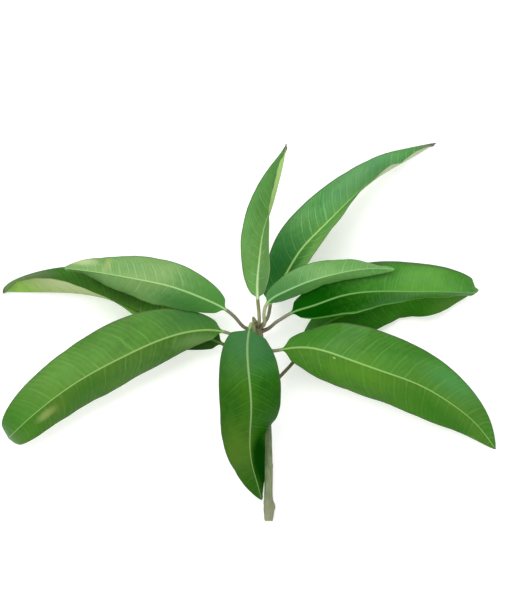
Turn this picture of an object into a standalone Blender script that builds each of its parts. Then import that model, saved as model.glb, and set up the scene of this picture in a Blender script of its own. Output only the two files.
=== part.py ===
# A cut mango shoot lying on a flat surface: a twig, the bud at its end and ten leaves.
# The model is in metres. The tables below are in millimetres and degrees.
# +X is right, +Y runs up the twig to its bud and +Z is up. The origin lies on the surface
# under the whorl of leaves, at the middle of the whole shoot.
import math

import bmesh
import bpy
import numpy as np
from mathutils import Vector

MM = 0.001
GAP = 0.3  # between a leaf stalk's foot, or the bud, and the bark

# The twig: points of its middle line from the cut end to the bud, each with its radius.
# A low swelling near the cut end is an old node, and it touches the surface.
TWIG = [
    (16, -154, 4.4, 3.5),
    (16.2, -149, 4.5, 4.0),
    (16.2, -144, 4.6, 4.3),
    (16, -137, 5.4, 3.7),
    (16, -121, 7.5, 3.4),
    (16, -96, 11, 3.0),
    (15, -67, 15, 2.8),
    (12, -38, 20, 3.0),
    (9.5, -14, 24, 3.2),
    (7, 2, 27, 3.5),
    (5, 8, 28.6, 2.9),
]
TWIG_STATIONS = 34
TWIG_ROUNDNESS = 4

BUD_LENGTH = 5.5
BUD_RADIUS = 2.3
BUD_TAPER = 0.45  # share of its radius lost from foot to tip

# Leaf blades
BLADE_THICKNESS = 0.7
KEEL_AT_BASE = 1.1  # how far the midrib stands below the blade
KEEL_AT_TIP = 0.2
RIB_RISE = 0.25  # and above it
RIB_HALF_WIDTH = 1.3
RIB_LARGEST_SHARE = 0.35  # of the half-width, where the blade is narrow
EDGE_WAVE = 0.45
EDGE_WAVES = 4
LEFT_WAVE_SHIFT = 126.0  # degrees by which the left edge's waves are out of step
SMALLEST_HALF_WIDTH = 0.9
FLATTENED_BELOW = 3.0  # half-width under which a fold opens out, at base and tip

# Leaf stalks
STALK_RADIUS = 1.4
STALK_FOOT_RADIUS = 1.9
STALK_LEAD = 3.0  # straight stretch out of the bark
FOOT_TAPER = 3.0  # length over which the foot's swelling fades

# Stations along a leaf, and places across each half of the blade from rib to edge
STALK_STATIONS = 8
BLADE_STATIONS = 23
ACROSS = (0.4, 0.7, 1.0)
END_CROWDING = 0.035  # how much closer the stations stand near both ends of the blade
STALK_TO_BLADE = 0.03  # share of the blade in which the round stalk flattens out
STEP = 0.5  # either way along a line, to find its direction
SETTLING_ROUNDS = 6
SHARP_EDGE = 50.0

# The ten leaves, named by their place. "node" is the distance of the stalk's foot from the
# end of the twig, and the side that it leaves from: 0 is up, 90 is right, -90 is left.
# "stalk" and "midrib" are the points that the leaf's middle line passes through.
# "left" and "right" give the slope of each half of the blade, seen from base to tip: the
# share of the length, the slope beside the rib and the slope at the edge. Past 90 degrees
# the half is folded over and shows its underside.
LEAVES = {
    "leaf_front": {
        "node": (7, -25),
        "stalk": [(3.8, 4.8, 36.5), (2.1, 7.3, 41.5)],
        "midrib": [
            (0.5, 3, 47.5), (-1, -9, 58), (0, -30, 71), (2, -56, 68),
            (1, -79, 54), (2, -103, 34), (6, -120, 18), (10.3, -137, 5),
        ],
        "half_width": 25, "widest": 0.40, "base_power": 0.28, "tip_power": 0.72,
        "left": [
            (0, -10, -10), (0.2, -2, -4), (0.3, -5, -13), (0.4, -16, -28), (0.5, -28, -38),
            (0.6, -40, -50), (0.65, -47, -57), (0.7, -45, -54), (0.75, -40, -49), (0.8, -37, -45),
            (0.9, -38, -44), (0.95, -48, -52), (1, -55, -55),
        ],
        "right": [
            (0, -5, -5), (0.3, -2, -8), (0.5, -5, -14), (0.62, -8, -16), (0.7, -8, -14),
            (0.8, -14, -22), (0.9, 0, 0), (1, 0, 0),
        ],
        "rests": False,
    },
    "leaf_lower_left": {
        "node": (17, -90),
        "stalk": [(-10, -3, 33)],
        "midrib": [
            (-21, 1, 37), (-39, 2, 42), (-66, -4, 48), (-98, -18, 50),
            (-130, -35, 48), (-158, -54, 42), (-181, -73, 33), (-192, -83, 20), (-197, -87, 0.5),
        ],
        "half_width": 29, "widest": 0.40, "base_power": 0.6, "tip_power": 0.6,
        "left": [
            (0, -14, -14), (0.05, -30, -38), (0.1, -35, -44), (0.2, -40, -52), (0.3, -42, -53),
            (0.4, -41, -54), (0.5, -37, -52), (0.6, -35, -51), (0.75, -33, -47), (0.8, -28, -38),
            (0.86, -20, -26), (0.93, -10, -12), (1, -10, -10),
        ],
        "right": [
            (0, -15, -15), (0.25, 0, -5), (0.42, -5, -15), (0.55, -14, -24), (0.67, -8, -16),
            (0.78, 0, 0), (1, 0, 0),
        ],
        "rests": True,
    },
    "leaf_upper_left": {
        "node": (3.5, -82),
        "stalk": [(-9, 10, 35)],
        "midrib": [
            (-19, 19, 43), (-35, 27, 50), (-62, 37, 57), (-90, 43, 54),
            (-118, 48, 44), (-149, 52, 30),
        ],
        "half_width": 20.5, "widest": 0.42, "base_power": 0.5, "tip_power": 0.8,
        "left": [
            (0, -22, -22), (0.1, -24, -34), (0.2, -27, -40), (0.3, -28, -41), (0.42, -28, -40),
            (0.6, -38, -49), (0.75, -43, -53), (0.85, -55, -62), (0.9, -66, -72),
            (0.95, -62, -62), (1, -30, -30),
        ],
        "right": [
            (0, 0, 0), (0.3, -10, -25), (0.6, -10, -28), (0.8, -20, -25),
            (0.9, 5, 5), (1, 0, 0),
        ],
        "rests": False,
    },
    "leaf_under_left": {
        "node": (31, -110),
        "stalk": [(-7, -17, 19)],
        "midrib": [
            (-22, -9, 20), (-48, 1, 22), (-80, 13, 22), (-112, 26.5, 19),
            (-141, 32, 14), (-172, 33, 7), (-202, 33, 0.5),
        ],
        "half_width": 23.5, "widest": 0.50, "base_power": 0.5, "tip_power": 0.5,
        "left": [
            (0, -10, -10), (0.15, -5, 0), (0.3, 66, 68), (0.38, 82, 82), (0.53, 94, 94),
            (0.63, 106, 106), (0.73, 119, 119), (0.83, 133, 131), (0.92, 136, 134), (1, 60, 60),
        ],
        "right": [
            (0, -10, -10), (0.3, 0, 0), (0.7, 10, 5), (1, 5, 5),
        ],
        "rests": True,
    },
    "leaf_top": {
        "node": (1.5, 16),
        "stalk": [(8, 17, 36)],
        "midrib": [
            (7, 28, 41), (7, 42, 48), (9, 62, 55), (12, 81, 58),
            (18, 99, 56), (23, 117, 49), (28, 138, 38), (30, 152, 29),
        ],
        "half_width": 20, "widest": 0.50, "base_power": 0.62, "tip_power": 1.2,
        "left": [
            (0, 10, 10), (0.1, 25, 20), (0.3, 30, 25), (0.4, 33, 28), (0.5, 28, 24),
            (0.6, 32, 30), (0.85, 32, 30), (0.95, 28, 28), (1, 20, 20),
        ],
        "right": [
            (0, 20, 20), (0.1, 42, 42), (0.2, 53, 53), (0.3, 65, 65), (0.4, 76, 76),
            (0.45, 84, 84), (0.52, 95, 95), (0.62, 99, 99), (0.75, 105, 105), (0.84, 106, 106),
            (0.9, 92, 92), (0.95, 65, 65), (1, 30, 30),
        ],
        "rests": False,
    },
    "leaf_top_right": {
        "node": (5, 135),
        "stalk": [(15.5, 13, 19)],
        "midrib": [
            (17.5, 23, 17), (28, 43, 19), (42, 66, 23), (61, 86, 24),
            (81.5, 106.5, 20), (105.2, 126.2, 13), (130.7, 141.5, 6), (153, 155, 0.5),
        ],
        "half_width": 24.5, "widest": 0.38, "base_power": 0.5, "tip_power": 0.9,
        "left": [
            (0, 20, 15), (0.2, 8, 0), (0.4, 12, -3), (0.6, 30, 26), (0.7, 28, 26), (0.85, 5, 5),
            (1, 0, 0),
        ],
        "right": [
            (0, 30, 30), (0.1, 62, 62), (0.15, 69, 69), (0.25, 63, 63), (0.3, 65, 65),
            (0.4, 77, 77), (0.5, 83, 83), (0.58, 88, 88), (0.66, 91, 90), (0.71, 98, 96),
            (0.765, 101, 99), (0.805, 89, 87), (0.855, 99, 98), (0.9, 110, 110),
            (0.95, 106, 106), (1, 60, 60),
        ],
        "rests": True,
    },
    "leaf_right_small": {
        "node": (4, 55),
        "stalk": [(12.2, 12, 37)],
        "midrib": [
            (15, 24, 46), (29, 33, 55), (48, 41, 62), (70, 47, 63),
            (96, 51, 58), (116, 50.5, 53),
        ],
        "half_width": 14, "widest": 0.40, "base_power": 0.5, "tip_power": 0.8,
        "left": [
            (0, 0, 0), (0.3, -6, -14), (0.5, -20, -30), (0.7, -28, -38), (0.8, -42, -50),
            (0.9, -60, -66), (1, -30, -30),
        ],
        "right": [
            (0, -30, -30), (0.1, -42, -48), (0.3, -52, -64), (0.5, -60, -68),
            (0.6, -60, -66), (0.7, -48, -56), (0.8, -42, -50), (1, -20, -20),
        ],
        "rests": False,
    },
    "leaf_right": {
        "node": (8, 88),
        "stalk": [(21, 7.8, 34), (27.3, 12, 38.5)],
        "midrib": [
            (34, 16, 42), (49, 21, 46), (72, 29, 49), (100, 33, 49),
            (128, 33, 45), (153, 33, 38), (173, 32.5, 30), (184, 33, 19), (187, 34.5, 9),
        ],
        "half_width": 24, "widest": 0.48, "base_power": 0.5, "tip_power": 0.55,
        "left": [
            (0, -5, -5), (0.3, -5, -10), (0.7, -3, -9), (1, -5, -5),
        ],
        "right": [
            (0, -30, -30), (0.1, -34, -44), (0.2, -35, -45), (0.3, -38, -50), (0.4, -48, -60),
            (0.5, -60, -70), (0.6, -68, -76), (0.7, -72, -78), (0.85, -75, -79), (0.95, -80, -82),
            (1, -78, -78),
        ],
        "rests": False,
    },
    "leaf_under_right": {
        "node": (52, 95),
        "stalk": [(26, -35, 17)],
        "midrib": [
            (36, -24, 17), (48, -5, 19), (72, 12, 20), (100, 23, 20),
            (131, 29, 18), (158, 31, 13.5), (179, 30.5, 7),
        ],
        "half_width": 23, "widest": 0.45, "base_power": 0.55, "tip_power": 0.5,
        "left": [
            (0, -75, -75), (0.1, -72, -72), (0.2, -62, -62), (0.3, -40, -42), (0.4, -18, -24),
            (1, -5, -5),
        ],
        "right": [
            (0, -12, -12), (0.32, -12, -18), (0.48, -18, -26), (0.55, -26, -36), (0.64, -34, -46),
            (0.71, -28, -38), (0.79, -10, -15), (0.85, -6, -10), (0.9, -14, -20),
            (0.95, -30, -36), (1, -50, -50),
        ],
        "rests": False,
    },
    "leaf_lower_right": {
        "node": (23, 65),
        "stalk": [(19, -14.5, 30.5)],
        "midrib": [
            (26.5, -13.5, 32.5), (49, -12, 39), (77, -20, 44), (108, -31, 44),
            (137, -42, 38), (164, -58, 27), (185, -75, 13), (202, -96, 0.5),
        ],
        "half_width": 30, "widest": 0.36, "base_power": 0.5, "tip_power": 0.8,
        "left": [
            (0, -45, -45), (0.1, -36, -42), (0.2, -6, -16), (0.3, 0, -5), (0.5, -5, -20),
            (0.7, -8, -15), (0.9, 0, 0), (1, 0, 0),
        ],
        "right": [
            (0, 0, 0), (0.1, -6, -14), (0.2, -20, -34), (0.3, -28, -48), (0.5, -25, -42),
            (0.6, -17, -29), (0.7, -8, -16), (0.8, -8, -16), (0.9, 0, 0), (1, 0, 0),
        ],
        "rests": True,
    },
}

LEAF_COLORS = {
    "leaf_front": (0.045, 0.155, 0.015),
    "leaf_lower_left": (0.125, 0.320, 0.050),
    "leaf_upper_left": (0.165, 0.370, 0.095),
    "leaf_under_left": (0.095, 0.220, 0.040),
    "leaf_top": (0.130, 0.330, 0.075),
    "leaf_top_right": (0.080, 0.280, 0.065),
    "leaf_right_small": (0.180, 0.390, 0.130),
    "leaf_right": (0.060, 0.220, 0.025),
    "leaf_under_right": (0.050, 0.170, 0.020),
    "leaf_lower_right": (0.080, 0.250, 0.030),
}
BARK_COLOR = (0.230, 0.260, 0.150)
BUD_COLOR = (0.200, 0.210, 0.110)


def clear_scene():
    for obj in list(bpy.data.objects):
        bpy.data.objects.remove(obj, do_unlink=True)


def make_material(name, color, roughness):
    material = bpy.data.materials.new(name)
    material.use_nodes = True
    shader = material.node_tree.nodes["Principled BSDF"]
    shader.inputs["Base Color"].default_value = (*color, 1.0)
    shader.inputs["Roughness"].default_value = roughness
    shader.inputs["Metallic"].default_value = 0.0
    return material


def spline_through(points):
    """A natural cubic spline through the points, as a function of the distance between them."""
    points = np.array(points, float)
    knots = np.r_[0.0, np.cumsum(np.linalg.norm(np.diff(points[:, :3], axis=0), axis=1))]
    steps = np.diff(knots)
    slopes = np.diff(points, axis=0) / steps[:, None]
    count = len(points)
    matrix = np.eye(count)
    bends = np.zeros_like(points)
    for i in range(1, count - 1):
        matrix[i, i - 1] = steps[i - 1]
        matrix[i, i] = 2.0 * (steps[i - 1] + steps[i])
        matrix[i, i + 1] = steps[i]
        bends[i] = 6.0 * (slopes[i] - slopes[i - 1])
    bends = np.linalg.solve(matrix, bends)

    def point_at(distance):
        i = int(np.clip(np.searchsorted(knots, distance) - 1, 0, count - 2))
        step = steps[i]
        after = (distance - knots[i]) / step
        before = 1.0 - after
        bend = (before**3 - before) * bends[i] + (after**3 - after) * bends[i + 1]
        return before * points[i] + after * points[i + 1] + bend * step * step / 6.0

    return point_at, knots


def twig_at(distance_from_tip):
    """The twig's middle line and radius at a distance back from its end, and its direction."""
    point_at, knots = spline_through(TWIG)
    here = knots[-1] - distance_from_tip
    place = point_at(here)
    ahead = point_at(min(here + STEP, knots[-1]))
    behind = point_at(here - STEP)
    direction = (ahead - behind)[:3]
    return place[:3], place[3], direction / np.linalg.norm(direction)


def stalk_start(leaf):
    """Where a leaf stalk leaves the bark, and a point further on, aslant towards its blade."""
    distance, side = leaf["node"]
    middle, radius, along = twig_at(distance)
    across = np.cross(along, (0.0, 0.0, 1.0))
    across /= np.linalg.norm(across)
    up = np.cross(across, along)
    angle = math.radians(side)
    out = up * math.cos(angle) + across * math.sin(angle)
    aim = np.array(leaf["stalk"][0]) - middle
    way = out + aim / np.linalg.norm(aim)
    way /= np.linalg.norm(way)
    lowered = STALK_FOOT_RADIUS * math.sqrt(1.0 - float(way @ out) ** 2)
    foot = middle + out * (radius + GAP + lowered)
    return foot, foot + way * STALK_LEAD


def smooth_step(share):
    share = min(max(share, 0.0), 1.0)
    return share * share * (3.0 - 2.0 * share)


def half_width_at(leaf, share):
    """Half the blade's width at a share of its length: a lance shape drawn out at the tip."""
    widest = leaf["widest"]
    if share < widest:
        shape = math.sin(0.5 * math.pi * share / widest) ** leaf["base_power"]
    else:
        rest = max(math.cos(0.5 * math.pi * (share - widest) / (1.0 - widest)), 0.0)
        shape = rest ** leaf["tip_power"]
    return max(leaf["half_width"] * shape, SMALLEST_HALF_WIDTH)


def slopes_at(rows, share):
    shares = [row[0] for row in rows]
    inner = np.interp(share, shares, [row[1] for row in rows])
    outer = np.interp(share, shares, [row[2] for row in rows])
    return math.radians(inner), math.radians(outer)


def blade_half(leaf, side, share, width):
    """Points (across, up) of one half of the blade from the rib outwards, with their normals."""
    inner, outer = slopes_at(leaf[side], share)
    opened = smooth_step(width / FLATTENED_BELOW)
    sign = 1.0 if side == "right" else -1.0
    shift = 0.0 if side == "right" else math.radians(LEFT_WAVE_SHIFT)
    wave = EDGE_WAVE * math.sin(2.0 * math.pi * EDGE_WAVES * share + shift)
    wave *= min(1.0, width / leaf["half_width"])
    across = 0.0
    up = 0.0
    last = 0.0
    rows = []
    rib = min(RIB_HALF_WIDTH / width, RIB_LARGEST_SHARE)
    for place in (rib, *ACROSS):
        slope = (inner + (outer - inner) * 0.5 * (place + last)) * opened
        across += (place - last) * width * math.cos(slope)
        up += (place - last) * width * math.sin(slope)
        normal = (-math.sin(slope) * sign, math.cos(slope))
        lift = wave * place * place
        rows.append((sign * across + normal[0] * lift, up + normal[1] * lift, normal))
        last = place
    return rows


def blade_ring(leaf, share):
    """The closed outline of the blade across its middle line: top from left to right, then back."""
    width = half_width_at(leaf, share)
    left = blade_half(leaf, "left", share, width)
    right = blade_half(leaf, "right", share, width)
    middle = np.array(left[0][2]) + np.array(right[0][2])
    middle /= max(np.linalg.norm(middle), 1e-6)
    half = 0.5 * BLADE_THICKNESS
    keel = KEEL_AT_BASE + (KEEL_AT_TIP - KEEL_AT_BASE) * share
    top = []
    bottom = []
    for across, up, normal in reversed(left):
        top.append((across + normal[0] * half, up + normal[1] * half))
        bottom.append((across - normal[0] * half, up - normal[1] * half))
    top.append(tuple(middle * (half + RIB_RISE)))
    bottom.append(tuple(-middle * (half + keel)))
    for across, up, normal in right:
        top.append((across + normal[0] * half, up + normal[1] * half))
        bottom.append((across - normal[0] * half, up - normal[1] * half))
    return np.array(top + bottom[::-1])


def round_ring(radius, count):
    half = count // 2
    angles = [math.pi * (1.0 - (k + 0.5) / half) for k in range(count)]
    return np.array([(radius * math.cos(a), radius * math.sin(a)) for a in angles])


def leaf_rings(leaf):
    """Closed rings of points along the leaf, in millimetres, from the stalk's foot to the tip."""
    foot, lead = stalk_start(leaf)
    line = [tuple(foot), tuple(lead), *leaf["stalk"], *leaf["midrib"]]
    point_at, knots = spline_through(line)
    base = knots[2 + len(leaf["stalk"])]
    whole = knots[-1]
    ring_size = 2 * (2 * (len(ACROSS) + 1) + 1)
    rings = []
    stations = [(base * i / STALK_STATIONS, None) for i in range(STALK_STATIONS)]
    for i in range(BLADE_STATIONS + 1):
        share = i / BLADE_STATIONS
        share -= END_CROWDING * math.sin(2.0 * math.pi * share)
        stations.append((base + (whole - base) * share, share))
    for distance, share in stations:
        place = point_at(distance)
        ahead = point_at(min(distance + STEP, whole))
        behind = point_at(max(distance - STEP, 0.0))
        along = ahead - behind
        along /= np.linalg.norm(along)
        across = np.cross(along, (0.0, 0.0, 1.0))
        across /= np.linalg.norm(across)
        up = np.cross(across, along)
        if share is None:
            swell = (STALK_FOOT_RADIUS - STALK_RADIUS) * math.exp(-distance / FOOT_TAPER)
            outline = round_ring(STALK_RADIUS + swell, ring_size)
        else:
            flat = smooth_step(share / STALK_TO_BLADE)
            outline = round_ring(STALK_RADIUS, ring_size) * (1.0 - flat)
            outline += blade_ring(leaf, share) * flat
        rings.append([place + across * a + up * u for a, u in outline])
    return np.array(rings)


def settle_tip(rings):
    """Bends the leaf down or up, more towards its tip, until its lowest point is at the surface."""
    shares = np.linspace(0.0, 1.0, len(rings))[:, None] ** 2
    for _ in range(SETTLING_ROUNDS):
        rings[:, :, 2] -= rings[:, :, 2].min() * shares
    rings[:, :, 2] = np.maximum(rings[:, :, 2], 0.0)
    return rings


def loft(mesh, rings):
    """A closed skin over the rings, with the top and the underside split the same way."""
    bm = bmesh.new()
    rows = [[bm.verts.new(Vector(point) * MM) for point in ring] for ring in rings]
    size = len(rows[0])
    half = size // 2
    for here, ahead in zip(rows, rows[1:]):
        for k in range(size):
            m = (k + 1) % size
            if k < half:
                bm.faces.new((here[k], here[m], ahead[m]))
                bm.faces.new((here[k], ahead[m], ahead[k]))
            else:
                bm.faces.new((here[k], here[m], ahead[k]))
                bm.faces.new((here[m], ahead[m], ahead[k]))
    bm.faces.new(rows[0][::-1])
    middle = bm.verts.new(Vector(rings[-1].mean(axis=0)) * MM)
    for k in range(size):
        bm.faces.new((rows[-1][k], rows[-1][(k + 1) % size], middle))
    bmesh.ops.recalc_face_normals(bm, faces=bm.faces)
    bm.to_mesh(mesh)
    bm.free()


def add_leaf(name, leaf, collection):
    rings = leaf_rings(leaf)
    if leaf["rests"]:
        rings = settle_tip(rings)
    mesh = bpy.data.meshes.new(name)
    loft(mesh, rings)
    mesh.shade_smooth()
    mesh.set_sharp_from_angle(angle=math.radians(SHARP_EDGE))
    mesh.materials.append(make_material(name, LEAF_COLORS[name], 0.45))
    obj = bpy.data.objects.new(name, mesh)
    collection.objects.link(obj)
    return obj


def add_twig(collection):
    point_at, knots = spline_through(TWIG)
    curve = bpy.data.curves.new("twig", "CURVE")
    curve.dimensions = "3D"
    curve.bevel_depth = MM
    curve.bevel_resolution = TWIG_ROUNDNESS
    curve.use_fill_caps = True
    spline = curve.splines.new("POLY")
    spline.points.add(TWIG_STATIONS - 1)
    for i, distance in enumerate(np.linspace(0.0, knots[-1], TWIG_STATIONS)):
        x, y, z, radius = point_at(distance)
        spline.points[i].co = (x * MM, y * MM, z * MM, 1.0)
        spline.points[i].radius = radius
    curve.materials.append(make_material("bark", BARK_COLOR, 0.7))
    twig = bpy.data.objects.new("twig", curve)
    collection.objects.link(twig)
    bpy.context.view_layer.update()
    evaluated = twig.evaluated_get(bpy.context.evaluated_depsgraph_get())
    lowest = min(vertex.co.z for vertex in evaluated.to_mesh().vertices)
    evaluated.to_mesh_clear()
    twig.location.z = -lowest
    return twig


def add_bud(collection):
    """The small closed bud at the twig's end, a pointed drop in line with it."""
    middle, _, along = twig_at(0.0)
    mesh = bpy.data.meshes.new("terminal_bud")
    bm = bmesh.new()
    bmesh.ops.create_uvsphere(bm, u_segments=12, v_segments=8, radius=1.0)
    for vertex in bm.verts:
        height = 0.5 * (vertex.co.z + 1.0)
        taper = 1.0 - BUD_TAPER * height
        vertex.co.x *= BUD_RADIUS * taper * MM
        vertex.co.y *= BUD_RADIUS * taper * MM
        vertex.co.z = BUD_LENGTH * height * MM
    bmesh.ops.recalc_face_normals(bm, faces=bm.faces)
    bm.to_mesh(mesh)
    bm.free()
    mesh.shade_smooth()
    mesh.materials.append(make_material("bud_scales", BUD_COLOR, 0.65))
    bud = bpy.data.objects.new("terminal_bud", mesh)
    bud.location = Vector(middle + along * GAP) * MM
    bud.rotation_mode = "QUATERNION"
    bud.rotation_quaternion = Vector(along).to_track_quat("Z", "Y")
    collection.objects.link(bud)
    return bud


clear_scene()
shoot = bpy.data.collections.new("mango_shoot")
bpy.context.scene.collection.children.link(shoot)
add_twig(shoot)
add_bud(shoot)
for leaf_name, leaf_shape in LEAVES.items():
    add_leaf(leaf_name, leaf_shape, shoot)
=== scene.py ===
import math

import bpy
import numpy as np
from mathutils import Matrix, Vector


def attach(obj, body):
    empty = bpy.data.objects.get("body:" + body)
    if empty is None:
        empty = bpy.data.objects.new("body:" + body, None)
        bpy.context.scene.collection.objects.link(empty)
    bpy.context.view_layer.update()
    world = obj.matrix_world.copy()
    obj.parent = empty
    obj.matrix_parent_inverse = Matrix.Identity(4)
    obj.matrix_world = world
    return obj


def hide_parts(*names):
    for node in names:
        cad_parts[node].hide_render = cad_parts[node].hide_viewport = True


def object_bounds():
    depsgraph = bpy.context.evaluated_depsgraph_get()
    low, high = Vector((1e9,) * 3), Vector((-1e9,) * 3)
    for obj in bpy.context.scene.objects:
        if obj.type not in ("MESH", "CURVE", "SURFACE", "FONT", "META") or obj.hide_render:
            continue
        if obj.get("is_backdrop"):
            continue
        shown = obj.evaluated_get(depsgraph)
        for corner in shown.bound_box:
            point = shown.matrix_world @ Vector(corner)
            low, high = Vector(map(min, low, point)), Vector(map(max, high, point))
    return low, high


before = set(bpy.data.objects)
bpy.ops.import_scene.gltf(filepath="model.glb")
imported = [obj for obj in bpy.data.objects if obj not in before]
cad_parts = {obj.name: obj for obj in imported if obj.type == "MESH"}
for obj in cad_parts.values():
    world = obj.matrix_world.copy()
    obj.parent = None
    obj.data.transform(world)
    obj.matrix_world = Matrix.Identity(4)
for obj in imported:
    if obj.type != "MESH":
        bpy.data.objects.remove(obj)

cadLow, cadHigh = (np.array(corner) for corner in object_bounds())
mm = 0.001
cm = 0.01
print("frame loaded:", len(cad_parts), "nodes")


# The view, the table and the light
view = {
    "tall": 599,  # the picture's longer side, in pixels
    "pixel": 0.82,  # millimetres on the table in one pixel
    "place": (5.74, 26.65, 1500.0), "sensor": 36.0, "clip": (0.05, 20.0),
}
table = {"size": 8.0, "below": 0.05, "colour": (0.74, 0.74, 0.73), "glow": 0.42, "rough": 0.9}
lights = [
    {"name": "skyWindow", "at": (-0.45, 1.1, 2.0), "size": (2.2, 1.6), "power": 56.0,
     "colour": (0.96, 0.98, 1.0)},
    {"name": "roomFill", "at": (-1.4, -1.0, 1.7), "size": (1.8, 1.8), "power": 21.0,
     "colour": (1.0, 0.99, 0.95)},
    {"name": "sideFill", "at": (1.6, -0.5, 1.6), "size": (1.6, 1.6), "power": 16.0,
     "colour": (1.0, 1.0, 0.98)},
]
sky = {"colour": (0.97, 0.99, 1.0), "strength": 0.32}


def addCamera():
    taken = view["tall"] * view["pixel"]  # what the longer side takes in, in millimetres
    bpy.ops.object.camera_add(location=[value * mm for value in view["place"]], rotation=(0, 0, 0))
    camera = bpy.context.object
    camera.name = "overheadCamera"
    camera.data.sensor_width = view["sensor"]
    camera.data.lens = view["sensor"] * view["place"][2] / taken
    camera.data.clip_start, camera.data.clip_end = view["clip"]
    bpy.context.scene.camera = camera


def addLight(light):
    bpy.ops.object.light_add(type="AREA", location=light["at"])
    lamp = bpy.context.object
    lamp.name = light["name"]
    lamp.data.shape = "RECTANGLE"
    lamp.data.size, lamp.data.size_y = light["size"]
    lamp.data.energy = light["power"]
    lamp.data.color = light["colour"]
    lamp.rotation_euler = (-Vector(light["at"])).to_track_quat("-Z", "Y").to_euler()


def addSky():
    world = bpy.data.worlds.new("softRoom")
    bpy.context.scene.world = world
    world.use_nodes = True
    background = world.node_tree.nodes["Background"]
    background.inputs["Color"].default_value = (*sky["colour"], 1.0)
    background.inputs["Strength"].default_value = sky["strength"]
    bpy.context.scene.view_settings.view_transform = "Standard"


def newMaterial(name):
    material = bpy.data.materials.new(name)
    material.use_nodes = True
    return material, material.node_tree, material.node_tree.nodes["Principled BSDF"]


def addTable():
    bpy.ops.object.select_all(action="DESELECT")
    bpy.ops.mesh.primitive_plane_add(size=table["size"], location=(0, 0, -table["below"] * mm))
    top = bpy.context.object
    top.name = "tableTop"
    bpy.ops.object.transform_apply(location=True, rotation=True, scale=True)
    paint, _, shader = newMaterial("palePaper")
    shader.inputs["Base Color"].default_value = (*table["colour"], 1.0)
    shader.inputs["Roughness"].default_value = table["rough"]
    shader.inputs["Emission Color"].default_value = (1.0, 1.0, 1.0, 1.0)
    shader.inputs["Emission Strength"].default_value = table["glow"]
    top.data.materials.append(paint)
    top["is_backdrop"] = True


addCamera()
for light in lights:
    addLight(light)
addSky()
addTable()
print("camera, lights and table placed")


# Small helpers for node trees: an input is either a value or the socket that feeds it
def put(tree, kind, inputs=None, **settings):
    made = tree.nodes.new("ShaderNode" + kind)
    for name, value in settings.items():
        setattr(made, name, value)
    for name, value in (inputs or {}).items():
        if isinstance(value, bpy.types.NodeSocket):
            tree.links.new(value, made.inputs[name])
        else:
            made.inputs[name].default_value = value
    return made


def maths(tree, operation, first, second=0.0, third=0.0):
    return put(tree, "Math", {0: first, 1: second, 2: third}, operation=operation).outputs[0]


def times(tree, first, second):
    return maths(tree, "MULTIPLY", first, second)


def fade(tree, value, start, end, low=0.0, high=1.0):
    names = {"Value": value, "From Min": start, "From Max": end, "To Min": low, "To Max": high}
    return put(tree, "MapRange", names, interpolation_type="SMOOTHSTEP").outputs[0]


def mixed(tree, share, first, second):
    return put(tree, "Mix", {0: share, 6: first, 7: second}, data_type="RGBA").outputs[2]


def noise(tree, place, scale, detail=2.0, roughness=0.5):
    names = {"Vector": place, "Scale": scale, "Detail": detail, "Roughness": roughness}
    return put(tree, "TexNoise", names).outputs[0]


def newGroup(name, inputs, outputs):
    tree = bpy.data.node_groups.new(name, "ShaderNodeTree")
    for label, value in inputs.items():
        socket = tree.interface.new_socket(name=label, in_out="INPUT", socket_type="NodeSocketFloat")
        socket.default_value = value
    for label in outputs:
        tree.interface.new_socket(name=label, in_out="OUTPUT", socket_type="NodeSocketFloat")
    return tree, tree.nodes.new("NodeGroupInput").outputs, tree.nodes.new("NodeGroupOutput").inputs


def useGroup(tree, group, inputs=None):
    return put(tree, "Group", inputs, node_tree=group).outputs


def screen(*colour):  # a colour as a screen shows it, 0 to 255, made linear and opaque
    linear = (((c / 255 + 0.055) / 1.055) ** 2.4 if c > 10 else c / 255 / 12.92 for c in colour)
    return (*linear, 1.0)


def uvParts(tree, name):
    made = put(tree, "UVMap", uv_map=name).outputs[0]
    parts = put(tree, "SeparateXYZ", {0: made}).outputs
    return made, parts[0], parts[1]


def addBump(tree, shader, height, strength, distance):
    bump = put(tree, "Bump", {"Height": height, "Strength": strength, "Distance": distance})
    tree.links.new(bump.outputs[0], shader.inputs["Normal"])


# Shared effects. bladePlace holds centimetres along and across the blade, veinPlace the count
# of side veins and the share of the way from rib to edge, leafShare the share of the length
# (below 0 on the stalk) and the face: 1 on top and -1 underneath.
veinLook = {
    "wander": 0.14, "wanderScale": 1.1, "patchScale": 0.8, "netScale": 6.0,
    "closer": 3.0, "closeWander": 0.8, "closeScale": 0.7,
    "ribAtBase": 0.088, "ribAtTip": 0.03,  # half the midrib's width, in centimetres
}


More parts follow.
